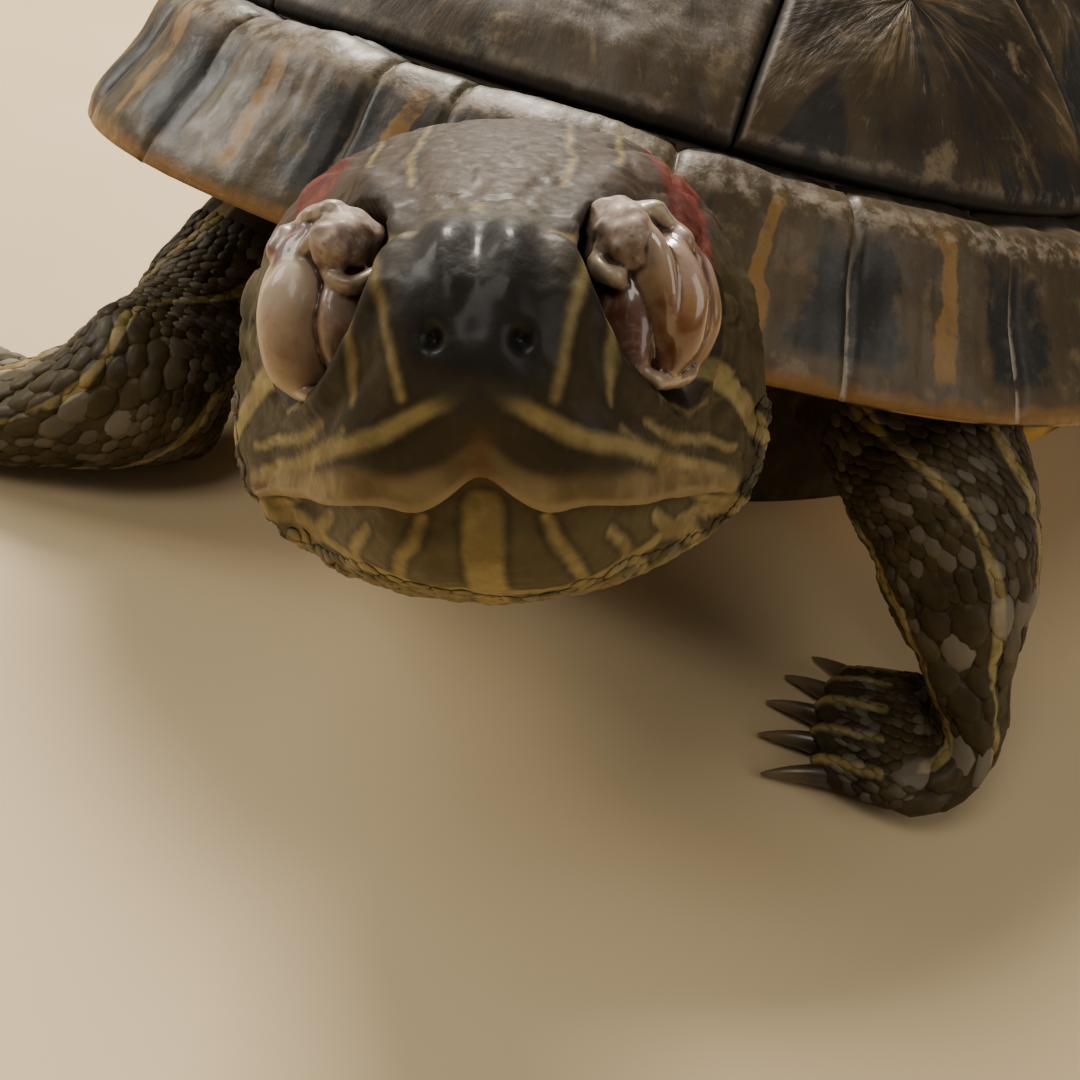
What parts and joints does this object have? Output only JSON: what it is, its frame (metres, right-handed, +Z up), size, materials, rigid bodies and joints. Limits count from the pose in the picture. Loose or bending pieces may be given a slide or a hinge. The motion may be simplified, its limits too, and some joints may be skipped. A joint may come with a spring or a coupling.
{
  "type": "red-eared slider turtle",
  "caption": "Life-size red-eared slider turtle standing with its head raised and turned to its left, eyes swollen shut, as a still display model.",
  "frame": {"origin": "middle of the whole animal's bounding box, at the floor", "axes": "+Z up; the body faces -Y and its left side is +X"},
  "size_m": [0.2114, 0.2828, 0.09],
  "materials": {
    "shell": "horn plates, brown-olive with dark blotches and yellow streaks",
    "belly_plate": "horn plates, dull orange-yellow with dark blotches",
    "skin": "scaly olive-black skin with thin cream and yellow stripes",
    "swollen_lids": "wet, swollen pinkish-brown lids"
  },
  "bodies": {
    "root": {"carapace": "shell", "plastron": "belly_plate", "head": "skin", "lower_jaw": "skin", "neck": "skin", "trunk": "skin", "foreleg_left": "skin", "foreleg_right": "skin", "hand_left": "skin", "hand_right": "skin", "hindleg_left": "skin", "hindleg_right": "skin", "foot_left": "skin", "foot_right": "skin", "tail": "skin", "eye_left": "swollen_lids", "eye_right": "swollen_lids"}
  },
  "joints": []
}
